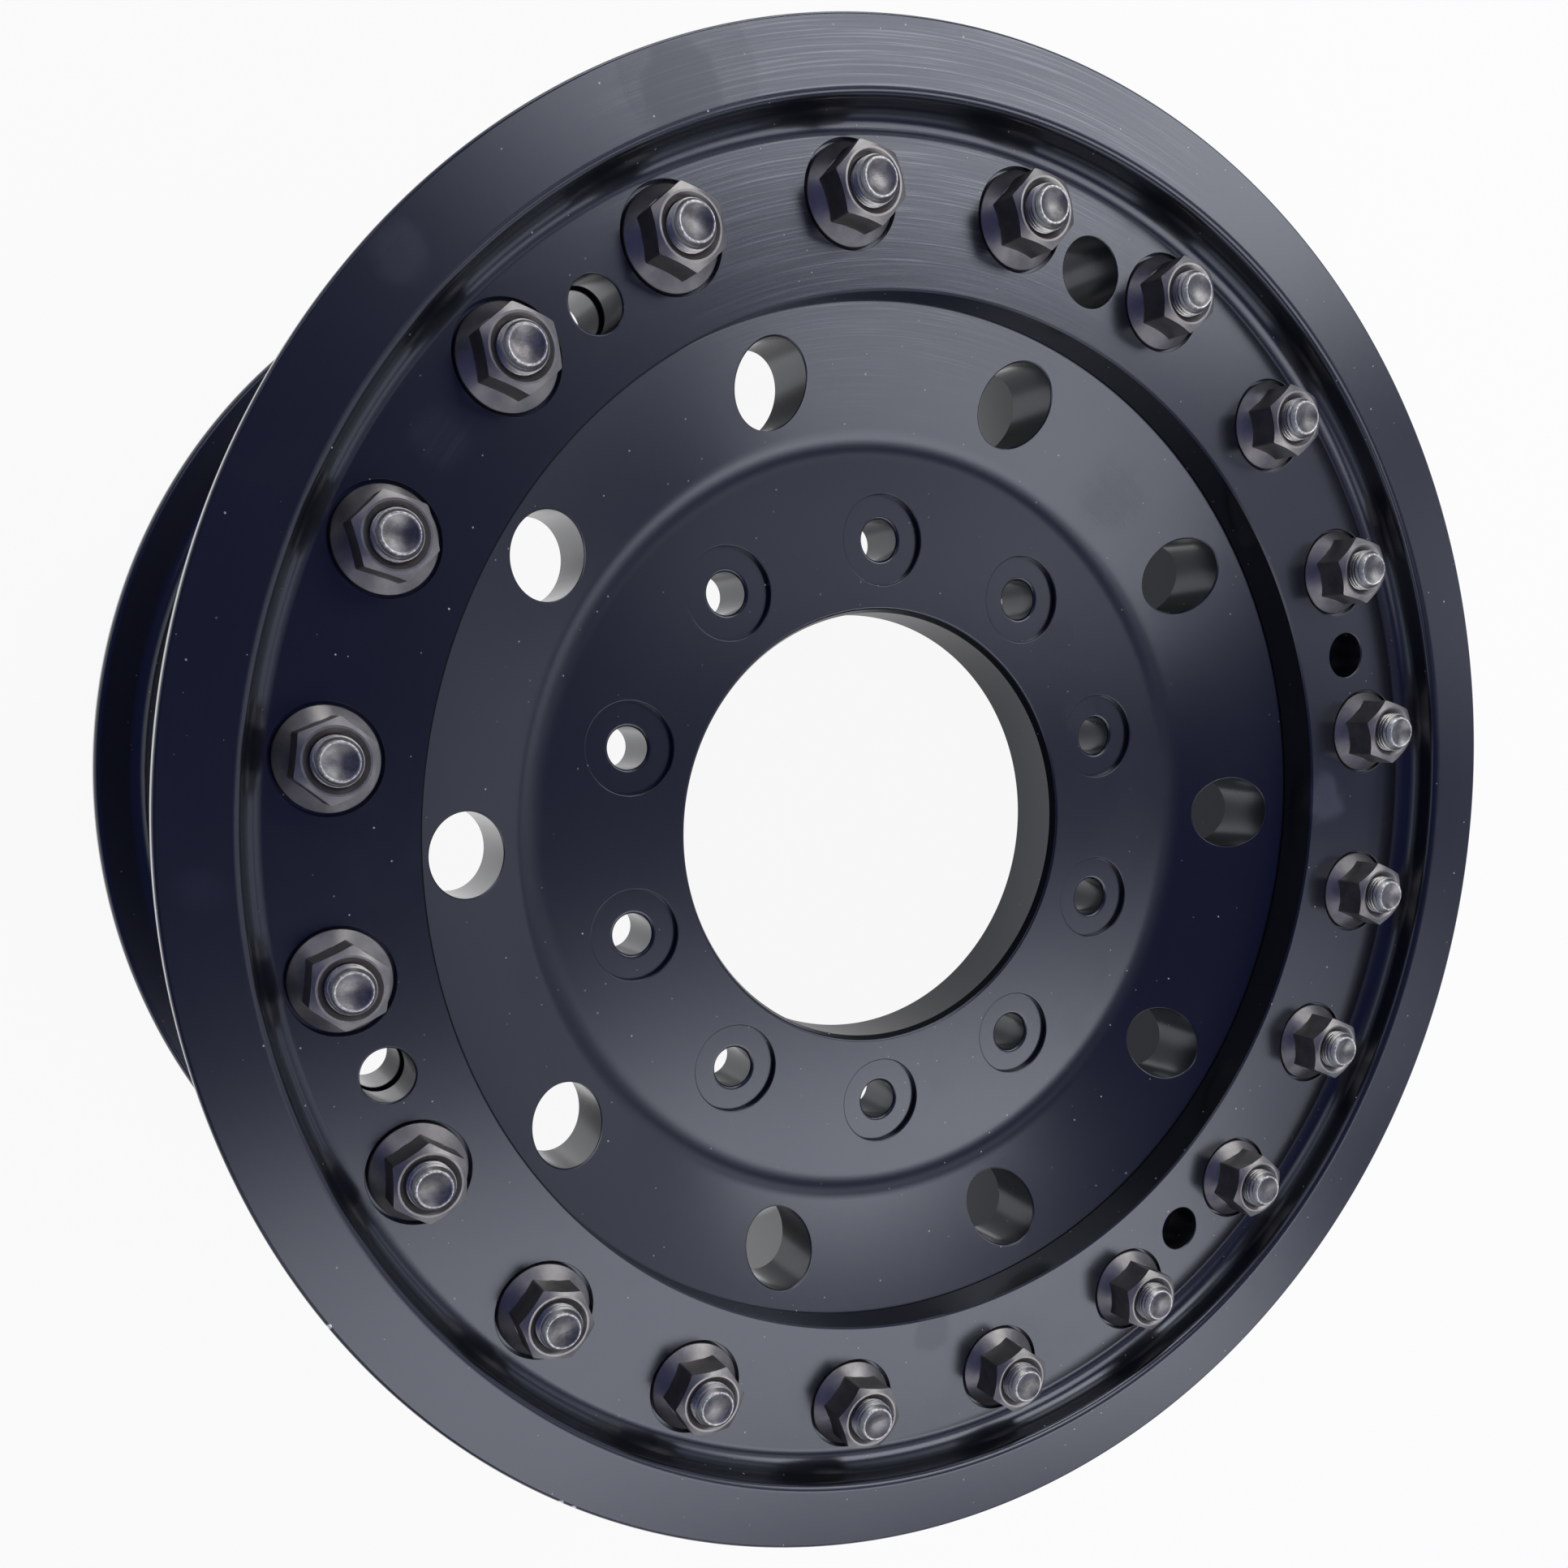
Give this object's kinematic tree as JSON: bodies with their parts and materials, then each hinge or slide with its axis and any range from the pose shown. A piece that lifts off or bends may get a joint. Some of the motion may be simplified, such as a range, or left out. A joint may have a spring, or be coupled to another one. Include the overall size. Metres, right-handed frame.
{
  "type": "super single wheel",
  "caption": "Wide two-piece bolted aluminium truck wheel for a single wide tyre, with a dished hub disc, hand holes, and a bolted-on front rim half.",
  "frame": {"origin": "on the wheel axis, in the plane of the hub mounting face on the back of the disc", "axes": "+Z along the wheel axis towards the outer side, +Y through the top lug hole"},
  "size_m": [0.5548, 0.5548, 0.303],
  "materials": {
    "coated_rim": "satin black coating over turned metal",
    "stud_steel": "phosphate coated steel with a bare scratched end",
    "nut_steel": "phosphate coated steel, worn bright at the edges",
    "seal_rubber": "matt"
  },
  "bodies": {
    "root": {"front_rim_half": "coated_rim", "rear_rim_half": "coated_rim", "o_ring_seal": "seal_rubber", "stud_01": "stud_steel", "stud_02": "stud_steel", "stud_03": "stud_steel", "stud_04": "stud_steel", "stud_05": "stud_steel", "stud_06": "stud_steel", "stud_07": "stud_steel", "stud_08": "stud_steel", "stud_09": "stud_steel", "stud_10": "stud_steel", "stud_11": "stud_steel", "stud_12": "stud_steel", "stud_13": "stud_steel", "stud_14": "stud_steel", "stud_15": "stud_steel", "stud_16": "stud_steel", "stud_17": "stud_steel", "stud_18": "stud_steel", "stud_19": "stud_steel", "stud_20": "stud_steel", "flange_nut_01": "nut_steel", "flange_nut_02": "nut_steel", "flange_nut_03": "nut_steel", "flange_nut_04": "nut_steel", "flange_nut_05": "nut_steel", "flange_nut_06": "nut_steel", "flange_nut_07": "nut_steel", "flange_nut_08": "nut_steel", "flange_nut_09": "nut_steel", "flange_nut_10": "nut_steel", "flange_nut_11": "nut_steel", "flange_nut_12": "nut_steel", "flange_nut_13": "nut_steel", "flange_nut_14": "nut_steel", "flange_nut_15": "nut_steel", "flange_nut_16": "nut_steel", "flange_nut_17": "nut_steel", "flange_nut_18": "nut_steel", "flange_nut_19": "nut_steel", "flange_nut_20": "nut_steel"}
  },
  "joints": []
}
